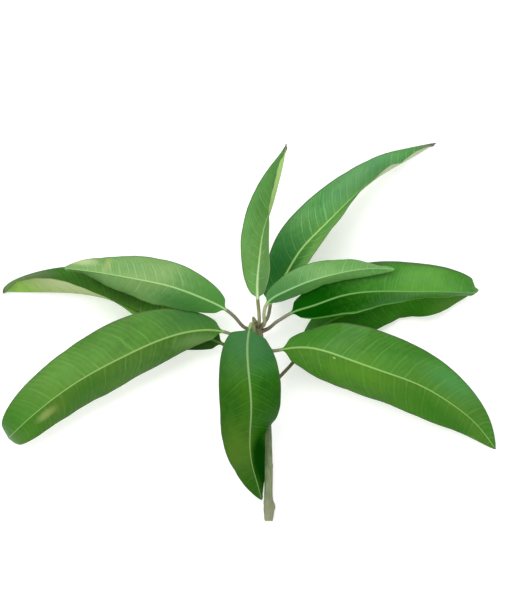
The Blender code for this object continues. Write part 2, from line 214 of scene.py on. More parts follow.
def buildVeins():
    names = {"Line": 0.035, "Rib": 1.0, "RimFrom": 0.94}
    tree, given, out = newGroup("leafVeins", names, ["Midrib", "Main", "Close", "Net", "Rim", "Height"])
    place, _, across = uvParts(tree, "bladePlace")
    _, count, edge = uvParts(tree, "veinPlace")
    _, share, _ = uvParts(tree, "leafShare")
    wander = maths(tree, "SUBTRACT", noise(tree, place, veinLook["wanderScale"], 3.0, 0.6), 0.5)
    count = maths(tree, "MULTIPLY_ADD", wander, veinLook["wander"], count)
    away = maths(tree, "PINGPONG", count, 0.5)
    line = times(tree, given["Line"], fade(tree, edge, 0.1, 1.0, 1.0, 0.5))
    main = fade(tree, maths(tree, "DIVIDE", away, line), 0.2, 2.2, 1.0, 0.0)
    patchy = fade(tree, noise(tree, place, veinLook["patchScale"], 2.0), 0.3, 0.62, 0.25, 1.0)
    main = times(tree, main, patchy)
    main = times(tree, main, fade(tree, edge, 0.6, 0.95, 1.0, 0.1))
    closeWander = times(tree, wander, veinLook["closeWander"])
    close = maths(tree, "MULTIPLY_ADD", count, veinLook["closer"], closeWander)
    close = maths(tree, "PINGPONG", close, 0.5)
    close = fade(tree, close, 0.06, 0.40, 1.0, 0.0)
    patchy = fade(tree, noise(tree, place, veinLook["closeScale"], 1.0), 0.35, 0.6, 0.25, 1.0)
    close = times(tree, close, patchy)
    cells = {"Vector": place, "Scale": veinLook["netScale"]}
    cells = put(tree, "TexVoronoi", cells, feature="DISTANCE_TO_EDGE").outputs[0]
    net = fade(tree, cells, 0.0, 0.16, 1.0, 0.0)
    ribHalf = fade(tree, share, 0.0, 1.0, veinLook["ribAtBase"], veinLook["ribAtTip"])
    ribHalf = times(tree, given["Rib"], ribHalf)
    midrib = fade(tree, maths(tree, "DIVIDE", maths(tree, "ABSOLUTE", across), ribHalf), 0.5, 1.5, 1.0, 0.0)
    rim = fade(tree, edge, given["RimFrom"], 0.99)
    height = maths(tree, "MULTIPLY_ADD", main, 0.6, times(tree, net, 0.15))
    height = maths(tree, "MULTIPLY_ADD", close, 0.35, height)
    for name, value in zip(("Midrib", "Main", "Close", "Net", "Rim", "Height"),
                           (midrib, main, close, net, rim, height)):
        tree.links.new(value, out[name])
    return tree


def buildMottle():
    tree, given, out = newGroup("leafMottle", {"Shift": 0.0}, ["Cloud", "Warmth", "Grain"])
    place = put(tree, "UVMap", uv_map="bladePlace").outputs[0]
    place = put(tree, "Mapping", {"Vector": place, "Scale": (0.6, 1.0, 1.0)}).outputs[0]
    moved = put(tree, "CombineXYZ", {0: given["Shift"], 1: given["Shift"]}).outputs[0]
    place = put(tree, "VectorMath", {0: place, 1: moved}, operation="ADD").outputs[0]
    tree.links.new(fade(tree, noise(tree, place, 0.55, 3.0, 0.55), 0.36, 0.66), out["Cloud"])
    tree.links.new(fade(tree, noise(tree, place, 3.4, 4.0, 0.65), 0.3, 0.7), out["Grain"])
    elsewhere = put(tree, "VectorMath", {0: place, 1: (31.0, 17.0, 0.0)}, operation="ADD").outputs[0]
    tree.links.new(fade(tree, noise(tree, elsewhere, 0.42, 3.0, 0.6), 0.38, 0.66), out["Warmth"])
    return tree


def buildBlotch():
    names = {"Along": 0.0, "Across": 0.0, "Long": 1.0, "Wide": 1.0, "Soft": 0.35}
    tree, given, out = newGroup("leafBlotch", names, ["Mask"])
    place, along, across = uvParts(tree, "bladePlace")
    along = maths(tree, "DIVIDE", maths(tree, "SUBTRACT", along, given["Along"]), given["Long"])
    across = maths(tree, "DIVIDE", maths(tree, "SUBTRACT", across, given["Across"]), given["Wide"])
    away = maths(tree, "MULTIPLY_ADD", along, along, times(tree, across, across))
    away = maths(tree, "SQRT", away)
    ragged = maths(tree, "SUBTRACT", noise(tree, place, 2.6, 3.0), 0.5)
    away = maths(tree, "MULTIPLY_ADD", ragged, 0.45, away)
    inside = maths(tree, "SUBTRACT", 1.0, given["Soft"])
    outside = maths(tree, "MULTIPLY_ADD", given["Soft"], 0.5, 1.0)
    tree.links.new(fade(tree, away, inside, outside, 1.0, 0.0), out["Mask"])
    return tree


barkLook = {
    "streakScale": 900.0, "fleckScale": 650.0, "roughScale": 1500.0,
    "green": (66, 98, 44), "pale": (108, 128, 82), "streak": (132, 134, 108), "fleck": (96, 86, 60),
    "nearCut": (136, 128, 104), "nearBud": (98, 88, 64),
    "cutDark": (176, 172, 128), "cutLight": (214, 208, 168),
}


def buildBark():
    tree, given, out = newGroup("barkStreaks", {"Scale": 1.0}, ["Streak", "Fleck", "Height"])
    place = put(tree, "TexCoord").outputs["Object"]
    size = put(tree, "CombineXYZ", {0: given["Scale"], 1: given["Scale"], 2: given["Scale"]}).outputs[0]
    place = put(tree, "VectorMath", {0: place, 1: size}, operation="MULTIPLY").outputs[0]
    longer = put(tree, "Mapping", {"Vector": place, "Scale": (1.0, 0.13, 1.0)}).outputs[0]
    streak = noise(tree, longer, barkLook["streakScale"], 4.0, 0.6)
    fleck = put(tree, "Mapping", {"Vector": place, "Scale": (1.0, 0.45, 1.0)}).outputs[0]
    fleck = put(tree, "TexVoronoi", {"Vector": fleck, "Scale": barkLook["fleckScale"]}).outputs[0]
    fleck = fade(tree, fleck, 0.12, 0.28, 1.0, 0.0)
    rough = noise(tree, place, barkLook["roughScale"], 3.0, 0.6)
    tree.links.new(fade(tree, streak, 0.3, 0.7), out["Streak"])
    tree.links.new(fleck, out["Fleck"])
    tree.links.new(maths(tree, "MULTIPLY_ADD", rough, 0.3, maths(tree, "ADD", streak, fleck)), out["Height"])
    return tree


veinGroup = buildVeins()
mottleGroup = buildMottle()
blotchGroup = buildBlotch()
barkGroup = buildBark()
print("shared effects built")


# The twig's middle line, from its cut end to the bud: x, y, z and radius
twig = {
    "line": [
        (16, -154, 4.4, 3.5), (16.2, -149, 4.5, 4.0), (16.2, -144, 4.6, 4.3), (16, -137, 5.4, 3.7),
        (16, -121, 7.5, 3.4), (16, -96, 11, 3.0), (15, -67, 15, 2.8), (12, -38, 20, 3.0),
        (9.5, -14, 24, 3.2), (7, 2, 27, 3.5), (5, 8, 28.6, 2.9),
    ],
    "spacing": 0.75, "around": 56,
    "ridge": 0.05, "ridges": ((5, 0.4), (9, 1.3), (14, 2.2)), "wander": 0.012, "lump": 0.10,
    # old leaf scars: distance from the tip, side (0 up, 90 right), half-size and height
    "scars": [
        (14, 150, 1.6, 0.35), (20, -35, 1.5, 0.35), (27, 160, 1.5, 0.3), (36, 20, 1.5, 0.35),
        (44, -150, 1.5, 0.3), (58, -60, 1.5, 0.35), (80, 120, 1.5, 0.3), (103, -30, 1.5, 0.3),
        (119, 88, 1.3, 0.45), (153, 93, 2.6, 1.75), (150, -70, 1.6, 0.5), (157, 10, 1.8, 0.4),
    ],
    "cutRings": (0.93, 0.86, 0.55, 0.28, 0.10),
    "cutDepth": (0.0, -0.25, -0.35, -0.3, -0.7),
    "cutCore": 0.8, "ragged": ((3, 0.7, 0.3), (7, 0.0, 0.18)),  # how often, turn and height
    "gap": 0.3, "lead": 3.0, "sunk": 0.9,
}

# How every blade is drawn out
blade = {
    "spacing": 0.9, "places": 32, "crowding": 1.35,
    "thickness": 0.5, "thinEdge": 0.5,
    "ribRise": 0.32, "ribWidth": 0.85, "keelAtBase": 1.1, "keelAtTip": 0.2, "keelWidth": 1.1,
    "ribBlend": 1.4,
    "wave": 0.45, "waves": 4, "leftShift": 126.0,
    "ripple": 0.14, "ripples": 11,
    "quilt": 0.16,
    "smallest": 0.45, "flattenedBelow": 3.0,
    "endCrowding": 0.035, "stalkToBlade": 0.03, "stalkPart": 8 / 31,
    "veinBend": 0.30, "veinShift": 0.43, "lowest": 0.02,
    "step": 0.5, "settling": 6,
}
stalk = {
    "radius": 1.4, "foot": 1.9, "taper": 3.0,
    "bark": (108, 104, 84), "footBark": (96, 86, 62),
}

# Each leaf: node is the stalk's distance from the twig's tip and its side; left and right give
# each half's slope by share of the length, beside the rib and at the edge. Past 90 degrees a
# half is folded over and shows its underside. gloss is the shine, dull a spot without any.
# low and lowRim are the tones of the half that lowHalf names, the half turned away from the key
# light: the step from green to low is painted light and shade. ribWidth is a factor, veinWidth
# half a side vein's width in spacings. rimFrom is a share of the way to the edge, tipFrom of the
# length. A blotch is its centre and half-size, in centimetres along and across the blade, then
# its softness, how much of it shows, and its colour; besides real marks and tone patches the
# blotches hold painted shade and painted sheen, as noted at each leaf. usual holds what a leaf
# doesn't state.
usual = {
    "ribWidth": 1.0, "veinWidth": 0.035, "rimFrom": 0.94, "tipFrom": 0.985, "underBlotches": [],
    "lowRim": (70, 84, 56),
}
leaves = {
    "leaf_front": {
        "node": (7, -25), "stalk": [(3.8, 4.8, 36.5), (2.1, 7.3, 41.5)],
        "midrib": [
            (0.5, 3, 47.5), (-1, -9, 58), (0, -30, 71), (2, -56, 68),
            (1, -79, 54), (2, -103, 34), (6, -120, 18), (10.3, -137, 5),
        ],
        "halfWidth": 25, "widest": 0.40, "basePower": 0.28, "tipPower": 0.72,
        "left": [
            (0, -10, -10), (0.2, -2, -4), (0.3, -5, -13), (0.4, -16, -28), (0.5, -28, -38),
            (0.6, -40, -50), (0.65, -47, -57), (0.7, -45, -54), (0.75, -40, -49), (0.8, -37, -45),
            (0.9, -38, -44), (0.95, -48, -52), (1, -55, -55),
        ],
        "right": [
            (0, -5, -5), (0.3, -2, -8), (0.5, -5, -14), (0.62, -8, -16), (0.7, -8, -14),
            (0.8, -14, -22), (0.9, 0, 0), (1, 0, 0),
        ],
        "rests": False, "slot": "leaf_dark", "veinSpacing": 9.0, "veinAngle": 62.0, "gloss": 0.06,
        "dull": ((12.8, -1.1), (4.6, 1.3), 0.6),
        "lowHalf": "left",
        "green": (42, 89, 9), "low": (28, 86, 7), "deep": (16, 66, 4), "light": (59, 114, 29),
        "warm": (59, 102, 16), "vein": (66, 119, 38), "rib": (132, 160, 104), "ribWidth": 0.95,
        "under": (128, 160, 92), "stalkGreen": (150, 166, 112),
        "blotchesShadeAndSheen": [
            # painted sheen: bluish light where the arch near the base faces the key light
            ((1.0, -0.5), (3.0, 3.0), 0.9, 0.65, (66, 116, 74)),
            ((11.4, 1.1), (3.0, 1.7), 0.9, 0.4, (92, 124, 34)),
            # painted shade: the dark pocket where the half beside the twig turns steeply down
            ((13.3, -1.0), (3.4, 1.05), 0.5, 0.97, (6, 56, 3)),
        ],
    },
    "leaf_lower_left": {
        "node": (17, -90), "stalk": [(-10, -3, 33)],
        "midrib": [
            (-21, 1, 37), (-39, 2, 42), (-66, -4, 48), (-98, -18, 50), (-130, -35, 48),
            (-158, -54, 42), (-181, -73, 33), (-192, -83, 20), (-197, -87, 0.5),
        ],
        "halfWidth": 29, "widest": 0.40, "basePower": 0.6, "tipPower": 0.6,
        "left": [
            (0, -14, -14), (0.05, -30, -38), (0.1, -35, -44), (0.2, -40, -52), (0.3, -42, -53),
            (0.4, -41, -54), (0.5, -37, -52), (0.6, -35, -51), (0.75, -33, -47), (0.8, -28, -38),
            (0.86, -20, -26), (0.93, -10, -12), (1, -10, -10),
        ],
        "right": [
            (0, -15, -15), (0.25, 0, -5), (0.42, -5, -15), (0.55, -14, -24), (0.67, -8, -16),
            (0.78, 0, 0), (1, 0, 0),
        ],
        "rests": True, "slot": "leaf_green", "veinSpacing": 15.0, "veinWidth": 0.03, "veinAngle": 70.0,
        "gloss": 0.18,
        "lowHalf": "left",
        "green": (61, 113, 29), "low": (55, 106, 15), "deep": (39, 90, 16), "light": (93, 141, 52),
        "warm": (83, 121, 31), "vein": (95, 141, 56), "rib": (140, 176, 92), "ribWidth": 0.82,
        "under": (138, 168, 98), "stalkGreen": (124, 136, 100),
        "blotchesShadeAndSheen": [
            ((1.6, 1.2), (3.2, 1.6), 0.9, 0.75, (40, 92, 36)),
            ((1.8, -1.0), (2.6, 0.8), 0.9, 0.6, (116, 150, 86)),
            ((13.0, -1.2), (3.4, 1.2), 0.9, 0.6, (48, 102, 10)),
            ((12.8, 1.5), (3.4, 1.3), 0.9, 0.3, (104, 150, 60)),
            ((18.9, 0.4), (3.0, 2.4), 0.9, 0.6, (52, 114, 14)),
            ((16.4, -0.75), (1.1, 0.4), 0.8, 0.6, (152, 172, 96)),
            ((15.4, -0.9), (1.3, 0.7), 0.9, 0.3, (104, 116, 36)),
        ],
    },
    "leaf_upper_left": {
        "node": (3.5, -82), "stalk": [(-9, 10, 35)],
        "midrib": [
            (-19, 19, 43), (-35, 27, 50), (-62, 37, 57), (-90, 43, 54), (-118, 48, 44),
            (-149, 52, 30),
        ],
        "halfWidth": 20.5, "widest": 0.42, "basePower": 0.5, "tipPower": 0.8,
        "left": [
            (0, -22, -22), (0.1, -24, -34), (0.2, -27, -40), (0.3, -28, -41), (0.42, -28, -40),
            (0.6, -38, -49), (0.75, -43, -53), (0.85, -55, -62), (0.9, -66, -72),
            (0.95, -62, -62), (1, -30, -30),
        ],
        "right": [
            (0, 0, 0), (0.3, -10, -25), (0.6, -10, -28), (0.8, -20, -25), (0.9, 5, 5), (1, 0, 0),
        ],
        "rests": False, "slot": "leaf_light", "veinSpacing": 7.5, "veinWidth": 0.07, "veinAngle": 66.0,
        "gloss": 0.18,
        "lowRim": (96, 120, 78), "lowHalf": "left",
        "green": (99, 139, 72), "low": (94, 142, 78), "deep": (78, 125, 56), "light": (134, 169, 111),
        "warm": (125, 150, 79), "vein": (134, 172, 115), "rib": (154, 194, 122), "ribWidth": 0.85,
        "under": (150, 178, 118), "stalkGreen": (122, 118, 98),
        "blotchesShadeAndSheen": [
            ((2.4, -1.2), (4.8, 1.7), 0.9, 0.9, (50, 108, 42)),
            ((10.6, -0.6), (3.0, 1.0), 0.9, 0.6, (112, 154, 88)),
            ((0.6, 0.6), (3.6, 2.0), 0.9, 0.9, (60, 120, 42)),
            ((12.9, 0.75), (1.7, 0.4), 0.7, 0.6, (178, 192, 138)),
            ((10.4, 0.7), (0.35, 0.9), 0.8, 0.4, (158, 168, 98)),
        ],
    },
    "leaf_under_left": {
        "node": (31, -110), "stalk": [(-7, -17, 19)],
        "midrib": [
            (-22, -9, 20), (-48, 1, 22), (-80, 13, 22), (-112, 26.5, 19), (-141, 32, 14),
            (-172, 33, 7), (-202, 33, 0.5),
        ],
        "halfWidth": 23.5, "widest": 0.50, "basePower": 0.5, "tipPower": 0.5,
        "left": [
            (0, -10, -10), (0.15, -5, 0), (0.3, 66, 68), (0.38, 82, 82), (0.53, 94, 94),
            (0.63, 106, 106), (0.73, 119, 119), (0.83, 133, 131), (0.92, 136, 134), (1, 60, 60),
        ],
        "right": [(0, -10, -10), (0.3, 0, 0), (0.7, 10, 5), (1, 5, 5)],
        "rests": True, "slot": "leaf_green", "veinSpacing": 10.0, "veinAngle": 66.0, "gloss": 0.1,
        "lowHalf": "left",
        "green": (87, 150, 51), "low": (87, 150, 51), "deep": (55, 121, 26), "light": (153, 209, 90),
        # rib and stalkGreen are darker for painted shade over the leaf's base
        "warm": (132, 175, 53), "vein": (144, 193, 86), "rib": (96, 130, 60), "under": (119, 151, 69),
        "stalkGreen": (60, 74, 44),
        "blotchesShadeAndSheen": [
            # painted shade at the base
            ((1.0, 0.0), (3.4, 3.0), 0.5, 0.9, (20, 62, 8)),
            # painted shadow of leaf_upper_left over the top face
            ((11.4, 0.6), (6.2, 3.4), 0.5, 0.7, (18, 74, 4)),
            ((16.8, 1.4), (2.6, 0.5), 0.7, 0.7, (104, 112, 86)),
            ((18.6, 0.3), (2.2, 1.6), 0.7, 0.8, (84, 108, 70)),
        ],
        "underBlotches": [
            ((12.6, -1.5), (3.6, 3.0), 0.9, 0.8, (184, 194, 146)),
        ],
    },
    "leaf_top": {
        "node": (1.5, 16), "stalk": [(8, 17, 36)],
        "midrib": [
            (7, 28, 41), (7, 42, 48), (9, 62, 55), (12, 81, 58), (18, 99, 56), (23, 117, 49),
            (28, 138, 38), (30, 152, 29),
        ],
        "halfWidth": 20, "widest": 0.50, "basePower": 0.62, "tipPower": 1.2,
        "left": [
            (0, 10, 10), (0.1, 25, 20), (0.3, 30, 25), (0.4, 33, 28), (0.5, 28, 24),
            (0.6, 32, 30), (0.85, 32, 30), (0.95, 28, 28), (1, 20, 20),
        ],
        "right": [
            (0, 20, 20), (0.1, 42, 42), (0.2, 53, 53), (0.3, 65, 65), (0.4, 76, 76),
            (0.45, 84, 84), (0.52, 95, 95), (0.62, 99, 99), (0.75, 105, 105), (0.84, 106, 106),
            (0.9, 92, 92), (0.95, 65, 65), (1, 30, 30),
        ],
        "rests": False, "slot": "leaf_light", "veinSpacing": 7.5, "veinWidth": 0.05, "veinAngle": 64.0,
        "tipFrom": 0.945, "gloss": 0.18,
        "lowRim": (150, 156, 116), "lowHalf": "right",
        "green": (94, 154, 73), "low": (98, 138, 82), "deep": (69, 124, 53), "light": (120, 168, 99),
        "warm": (111, 148, 67), "vein": (126, 175, 110), "rib": (192, 216, 160), "ribWidth": 1.3,
        "under": (173, 211, 117), "stalkGreen": (138, 138, 98),
        "blotchesShadeAndSheen": [
            ((0.8, 0.6), (2.2, 0.9), 0.9, 0.6, (84, 124, 70)),
            ((13.6, 0.0), (0.9, 0.9), 0.6, 0.9, (78, 66, 56)),
        ],
        "underBlotches": [
            ((13.6, 0.0), (0.9, 0.9), 0.6, 0.9, (78, 66, 56)),
        ],
    },
    "leaf_top_right": {
        "node": (5, 135), "stalk": [(15.5, 13, 19)],
        "midrib": [
            (17.5, 23, 17), (28, 43, 19), (42, 66, 23), (61, 86, 24), (81.5, 106.5, 20), (105.2, 126.2, 13),
            (130.7, 141.5, 6), (153, 155, 0.5),
        ],
        "halfWidth": 24.5, "widest": 0.38, "basePower": 0.5, "tipPower": 0.9,
        "left": [
            (0, 20, 15), (0.2, 8, 0), (0.4, 12, -3), (0.6, 30, 26), (0.7, 28, 26), (0.85, 5, 5),
            (1, 0, 0),
        ],
        "right": [
            (0, 30, 30), (0.1, 62, 62), (0.15, 69, 69), (0.25, 63, 63), (0.3, 65, 65),
            (0.4, 77, 77), (0.5, 83, 83), (0.58, 88, 88), (0.66, 91, 90), (0.71, 98, 96),
            (0.765, 101, 99), (0.805, 89, 87), (0.855, 99, 98), (0.9, 110, 110),
            (0.95, 106, 106), (1, 60, 60),
        ],
        "rests": True, "slot": "leaf_green", "veinSpacing": 8.5, "veinWidth": 0.06, "veinAngle": 64.0,
        "tipFrom": 0.96, "gloss": 0.22,
        "lowRim": (104, 104, 84), "lowHalf": "right",
        # green is tinted blue for a painted sheen on the top face
        "green": (56, 132, 74), "low": (90, 131, 46), "deep": (43, 112, 38), "light": (121, 174, 105),
        "warm": (107, 154, 63), "vein": (139, 185, 114), "rib": (176, 214, 130), "ribWidth": 1.5,
        "under": (184, 196, 160), "stalkGreen": (128, 124, 98),
        "blotchesShadeAndSheen": [
            # painted shade at the base
            ((2.5, -0.6), (3.8, 3.0), 0.8, 0.8, (12, 96, 26)),
            # painted bluish sheen
            ((12.4, -0.9), (3.4, 1.4), 0.9, 0.5, (122, 176, 124)),
            ((19.4, 0.0), (1.5, 0.9), 0.9, 0.85, (112, 108, 102)),
        ],
        "underBlotches": [
            ((19.6, 0.0), (0.9, 0.9), 0.7, 0.85, (118, 110, 108)),
        ],
    },
    "leaf_right_small": {
        "node": (4, 55), "stalk": [(12.2, 12, 37)],
        "midrib": [
            (15, 24, 46), (29, 33, 55), (48, 41, 62), (70, 47, 63), (96, 51, 58), (116, 50.5, 53),
        ],
        "halfWidth": 14, "widest": 0.40, "basePower": 0.5, "tipPower": 0.8,
        "left": [
            (0, 0, 0), (0.3, -6, -14), (0.5, -20, -30), (0.7, -28, -38), (0.8, -42, -50),
            (0.9, -60, -66), (1, -30, -30),
        ],
        "right": [
            (0, -30, -30), (0.1, -42, -48), (0.3, -52, -64), (0.5, -60, -68), (0.6, -60, -66),
            (0.7, -48, -56), (0.8, -42, -50), (1, -20, -20),
        ],
        "rests": False, "slot": "leaf_light", "veinSpacing": 7.0, "veinAngle": 66.0, "gloss": 0.2,
        "lowRim": (100, 142, 84), "lowHalf": "right",
        "green": (88, 130, 71), "low": (78, 145, 52), "deep": (66, 124, 48), "light": (129, 178, 110),
        "warm": (114, 154, 73), "vein": (132, 180, 111), "rib": (138, 188, 118), "ribWidth": 0.9,
        "under": (150, 180, 118), "stalkGreen": (172, 178, 134),
        "blotchesShadeAndSheen": [
            ((1.2, 0.0), (3.5, 1.8), 0.9, 0.85, (50, 108, 50)),
        ],
    },
    "leaf_right": {
        "node": (8, 88), "stalk": [(21, 7.8, 34), (27.3, 12, 38.5)],
        "midrib": [
            (34, 16, 42), (49, 21, 46), (72, 29, 49), (100, 33, 49), (128, 33, 45), (153, 33, 38),
            (173, 32.5, 30), (184, 33, 19), (187, 34.5, 9),
        ],
        "halfWidth": 24, "widest": 0.48, "basePower": 0.5, "tipPower": 0.55,
        "left": [
            (0, -5, -5), (0.3, -5, -10), (0.7, -3, -9), (1, -5, -5),
        ],
        "right": [
            (0, -30, -30), (0.1, -34, -44), (0.2, -35, -45), (0.3, -38, -50), (0.4, -48, -60),
            (0.5, -60, -70), (0.6, -68, -76), (0.7, -72, -78), (0.85, -75, -79), (0.95, -80, -82),
            (1, -78, -78),
        ],
        "rests": False, "slot": "leaf_dark", "veinSpacing": 8.0, "veinAngle": 82.0, "gloss": 0.06,
        "dull": ((1.0, 0.0), (6.0, 4.0), 0.6),
        "lowRim": (120, 192, 92), "rimFrom": 0.84, "lowHalf": "right",
        "green": (68, 121, 52), "low": (27, 101, 4), "deep": (28, 96, 11), "light": (85, 152, 58),
        "warm": (81, 138, 38), "vein": (85, 152, 61), "rib": (112, 158, 86), "ribWidth": 0.85,
        "under": (130, 164, 96), "stalkGreen": (124, 122, 106),
        "blotchesShadeAndSheen": [
            # painted shade over the base, where leaf_right_small shades it
            ((0.6, 0.2), (7.0, 4.0), 0.7, 0.96, (3, 66, 1)),
            ((11.2, -1.1), (3.0, 1.4), 0.9, 0.28, (112, 164, 76)),
        ],
    },
    "leaf_under_right": {
        "node": (52, 95), "stalk": [(26, -35, 17)],
        "midrib": [
            (36, -24, 17), (48, -5, 19), (72, 12, 20), (100, 23, 20), (131, 29, 18), (158, 31, 13.5),
            (179, 30.5, 7),
        ],
        "halfWidth": 23, "widest": 0.45, "basePower": 0.55, "tipPower": 0.5,
        "left": [
            (0, -75, -75), (0.1, -72, -72), (0.2, -62, -62), (0.3, -40, -42), (0.4, -18, -24),
            (1, -5, -5),
        ],
        "right": [
            (0, -12, -12), (0.32, -12, -18), (0.48, -18, -26), (0.55, -26, -36), (0.64, -34, -46),
            (0.71, -28, -38), (0.79, -10, -15), (0.85, -6, -10), (0.9, -14, -20),
            (0.95, -30, -36), (1, -50, -50),
        ],
        "rests": False, "slot": "leaf_dark", "veinSpacing": 11.0, "veinAngle": 68.0, "gloss": 0.06,
        "lowHalf": "right",
        # its tones, rib included, are darkened with painted shade, as leaf_right lies over it
        "green": (41, 104, 13), "low": (41, 104, 13), "deep": (20, 83, 4), "light": (63, 129, 27),
        "warm": (60, 114, 18), "vein": (63, 129, 28), "rib": (73, 124, 39), "under": (124, 156, 88),
        "stalkGreen": (96, 92, 62),
        "blotchesShadeAndSheen": [
            # lighter near the tip, where the painted shade ends
            ((15.6, 0.9), (2.8, 1.4), 0.9, 0.6, (84, 126, 46)),
            # painted shade, deeper at the base
            ((5.0, 0.5), (3.4, 2.5), 0.9, 0.6, (24, 84, 12)),
        ],
    },
    "leaf_lower_right": {
        "node": (23, 65), "stalk": [(19, -14.5, 30.5)],
        "midrib": [
            (26.5, -13.5, 32.5), (49, -12, 39), (77, -20, 44), (108, -31, 44), (137, -42, 38),
            (164, -58, 27), (185, -75, 13), (202, -96, 0.5),
        ],
        "halfWidth": 30, "widest": 0.36, "basePower": 0.5, "tipPower": 0.8,
        "left": [
            (0, -45, -45), (0.1, -36, -42), (0.2, -6, -16), (0.3, 0, -5), (0.5, -5, -20),
            (0.7, -8, -15), (0.9, 0, 0), (1, 0, 0),
        ],
        "right": [
            (0, 0, 0), (0.1, -6, -14), (0.2, -20, -34), (0.3, -28, -48), (0.5, -25, -42),
            (0.6, -17, -29), (0.7, -8, -16), (0.8, -8, -16), (0.9, 0, 0), (1, 0, 0),
        ],
        "rests": True, "slot": "leaf_green", "veinSpacing": 13.5, "veinAngle": 70.0, "gloss": 0.18,
        "lowHalf": "right",
        "green": (53, 114, 25), "low": (62, 111, 17), "deep": (37, 94, 10), "light": (82, 136, 48),
        "warm": (79, 122, 28), "vein": (89, 141, 52), "rib": (142, 182, 98), "ribWidth": 0.85,
        "under": (138, 168, 98), "stalkGreen": (132, 144, 110),
        "blotchesShadeAndSheen": [
            ((2.0, -1.2), (2.4, 1.2), 0.9, 0.5, (40, 104, 14)),
            ((14.5, 1.3), (4.2, 1.0), 0.9, 0.6, (36, 100, 8)),
            ((6.5, 1.0), (2.4, 1.0), 0.9, 0.5, (80, 132, 24)),
            # painted bluish sheen on the upper half near the tip
            ((14.0, -1.6), (3.0, 1.1), 0.9, 0.45, (70, 138, 76)),
            ((19.6, 1.0), (1.0, 0.3), 0.6, 0.45, (118, 122, 72)),
            ((4.45, 0.3), (0.15, 0.09), 0.6, 0.6, (164, 190, 104)),
        ],
    },
}


def splineThrough(points):  # a natural cubic spline, as a function of the distance along it
    points = np.array(points, float)
    knots = np.r_[0.0, np.cumsum(np.linalg.norm(np.diff(points[:, :3], axis=0), axis=1))]
    steps = np.diff(knots)
    slopes = np.diff(points, axis=0) / steps[:, None]
    count = len(points)
    matrix = np.eye(count)
    bends = np.zeros_like(points)
    for i in range(1, count - 1):
        matrix[i, i - 1:i + 2] = steps[i - 1], 2.0 * (steps[i - 1] + steps[i]), steps[i]
        bends[i] = 6.0 * (slopes[i] - slopes[i - 1])
    bends = np.linalg.solve(matrix, bends)

    def pointAt(distance):
        distance = np.atleast_1d(distance)
        i = np.clip(np.searchsorted(knots, distance) - 1, 0, count - 2)
        step = steps[i][:, None]
        after = (distance - knots[i])[:, None] / step
        before = 1.0 - after
        bend = (before**3 - before) * bends[i] + (after**3 - after) * bends[i + 1]
        return before * points[i] + after * points[i + 1] + bend * step * step / 6.0

    return pointAt, knots


def unit(vectors):
    return vectors / np.linalg.norm(vectors, axis=-1, keepdims=True)


def alongLine(pointAt, distances, whole):  # the line's places, and its three directions there
    ahead = pointAt(np.minimum(distances + blade["step"], whole))[:, :3]
    behind = pointAt(np.maximum(distances - blade["step"], 0.0))[:, :3]
    along = unit(ahead - behind)
    across = unit(np.cross(along, (0.0, 0.0, 1.0)))
    return pointAt(distances), along, across, np.cross(across, along)


def smooth(share):
    share = np.clip(share, 0.0, 1.0)
    return share * share * (3.0 - 2.0 * share)


def stalkStart(leaf):  # where a stalk leaves the bark, a point further on, and the way there
    distance, side = leaf["node"]
    pointAt, knots = splineThrough(twig["line"])
    place, _, across, up = alongLine(pointAt, np.array([knots[-1] - distance]), knots[-1])
    middle = place[0, :3]
    angle = math.radians(side)
    out = up[0] * math.cos(angle) + across[0] * math.sin(angle)
    way = unit(out + unit(np.array(leaf["stalk"][0]) - middle))
    lean = float(way @ out)
    lowered = stalk["foot"] * math.sqrt(1.0 - lean**2)
    foot = middle + out * (place[0, 3] + twig["gap"] + lowered)
    depth = (twig["gap"] + lowered + twig["sunk"]) / lean  # how far the stalk goes on into the bark
    return foot, foot + way * twig["lead"], way * depth


# A grid is laid on rows of points, its last column on its first, and welded into one skin
def wrapGrid(name, points, layers, faceMaterials=None):
    rows, columns = points.shape[:2]
    bpy.ops.object.select_all(action="DESELECT")
    counts = {"x_subdivisions": columns - 1, "y_subdivisions": rows - 1}
    bpy.ops.mesh.primitive_grid_add(**counts, size=2, calc_uvs=False)
    made = bpy.context.object
    made.name = name
    mesh = made.data
    flat = np.empty(len(mesh.vertices) * 3)
    mesh.vertices.foreach_get("co", flat)
    flat = flat.reshape(-1, 3)
    column = np.rint((flat[:, 0] + 1.0) * 0.5 * (columns - 1)).astype(int)
    row = np.rint((flat[:, 1] + 1.0) * 0.5 * (rows - 1)).astype(int)
    mesh.vertices.foreach_set("co", (points[row, column] * mm).ravel())
    corner = np.empty(len(mesh.loops), int)
    mesh.loops.foreach_get("vertex_index", corner)
    cornerRow = row[corner]
    cornerColumn = column[corner]
    firstColumn = np.repeat(cornerColumn.reshape(-1, 4).min(axis=1), 4)
    for layerName, values in layers.items():
        if values.ndim == 4:  # one set of values for each side of the middle
            quarter = columns // 4
            half = ((firstColumn >= quarter) & (firstColumn < columns - 1 - quarter)).astype(int)
            chosen = values[half, cornerRow, cornerColumn]
        else:
            chosen = values[cornerRow, cornerColumn]
        mesh.uv_layers.new(name=layerName).data.foreach_set("uv", chosen.ravel())
    if faceMaterials is not None:
        firstRow = cornerRow.reshape(-1, 4).min(axis=1)
        mesh.polygons.foreach_set("material_index", faceMaterials[firstRow].astype(int))
    mesh.update()
    bpy.ops.object.mode_set(mode="EDIT")
    bpy.ops.mesh.select_all(action="SELECT")
    bpy.ops.mesh.remove_doubles(threshold=mm * mm)
    bpy.ops.mesh.normals_make_consistent(inside=False)
    bpy.ops.object.mode_set(mode="OBJECT")
    bpy.ops.object.shade_smooth_by_angle(angle=math.radians(60))
    made.location = (0, 0, 0)
    return made


